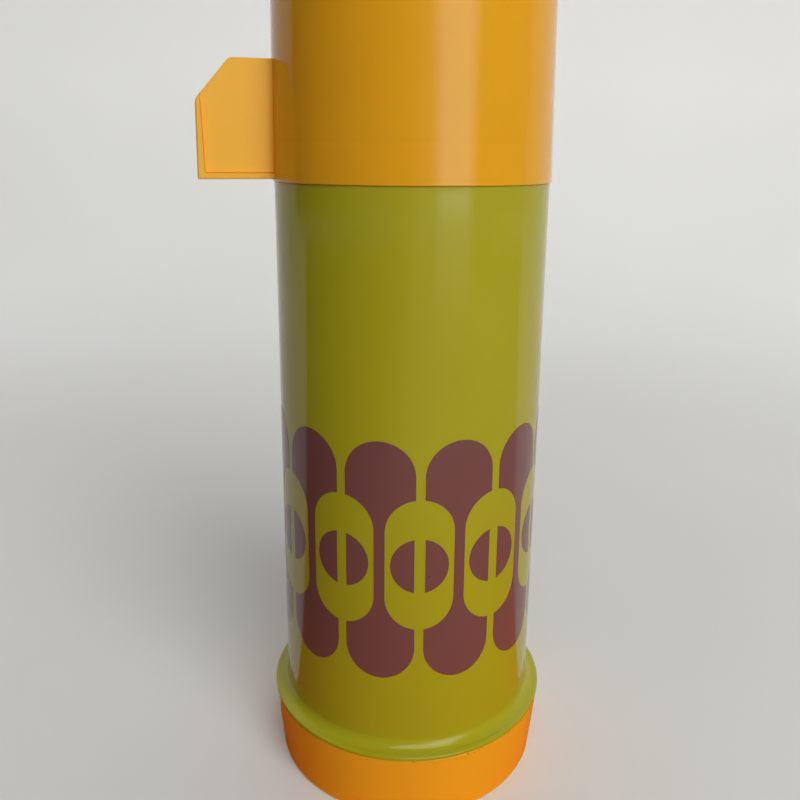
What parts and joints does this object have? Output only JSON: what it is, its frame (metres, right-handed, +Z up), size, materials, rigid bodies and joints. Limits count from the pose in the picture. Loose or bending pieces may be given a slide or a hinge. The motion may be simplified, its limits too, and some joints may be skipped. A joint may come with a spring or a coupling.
{
  "type": "vacuum flask",
  "caption": "Vacuum flask: tapered plastic casing on a screwed base, double-walled silvered glass inside, screw stopper, and a screwed-on drinking cup with a wing handle.",
  "frame": {"origin": "centre of the foot's ring face, on the table, on the flask's axis", "axes": "+Z up along the flask's axis; the cup's wing handle points to -X; -Y is the front"},
  "size_m": [0.1124, 0.0966, 0.27],
  "materials": {
    "casing_green": "gloss",
    "cup_orange": "gloss",
    "base_orange": "satin",
    "stopper_ivory": "satin",
    "seal_rubber": "matte",
    "silvered_glass": "polished",
    "spacer_pad": "matte",
    "foam": "matte"
  },
  "bodies": {
    "flask": {"casing": "casing_green", "pour_collar": "stopper_ivory", "neck_gasket": "seal_rubber", "outer_glass": "silvered_glass", "inner_glass": "silvered_glass", "glass_spacers": "spacer_pad"},
    "cup_slide": {"cup_gasket": "seal_rubber"},
    "cup": {"cup": "cup_orange"},
    "stopper_slide": {"stopper_gasket": "seal_rubber"},
    "stopper": {"stopper_shell": "stopper_ivory", "stopper_lid": "stopper_ivory", "stopper_insulation": "foam"},
    "base_slide": {"base_cushion": "seal_rubber"},
    "base": {"base": "base_orange"}
  },
  "joints": [
    {"name": "cup_lift", "type": "slide", "parent": "flask", "child": "cup_slide", "axis": [0, 0, 1], "range_m": [0, 0.048]},
    {"name": "cup_turn", "type": "hinge", "parent": "cup_slide", "child": "cup", "pos_m": [0, 0, 0.2], "axis": [0, 0, 1], "range_deg": [0, 1440]},
    {"name": "stopper_lift", "type": "slide", "parent": "flask", "child": "stopper_slide", "axis": [0, 0, 1], "range_m": [0, 0.018]},
    {"name": "stopper_turn", "type": "hinge", "parent": "stopper_slide", "child": "stopper", "pos_m": [0, 0, 0.22], "axis": [0, 0, 1], "range_deg": [0, 1080]},
    {"name": "base_drop", "type": "slide", "parent": "flask", "child": "base_slide", "axis": [0, 0, -1], "range_m": [0, 0.016]},
    {"name": "base_turn", "type": "hinge", "parent": "base_slide", "child": "base", "pos_m": [0, 0, 0.012], "axis": [0, 0, -1], "range_deg": [0, 720]}
  ],
  "couplings": [
    {"joint": "cup_lift", "follows": "cup_turn", "m_per_rad": 0.0019098},
    {"joint": "stopper_lift", "follows": "stopper_turn", "m_per_rad": 0.0009549},
    {"joint": "base_drop", "follows": "base_turn", "m_per_rad": 0.0012732}
  ]
}
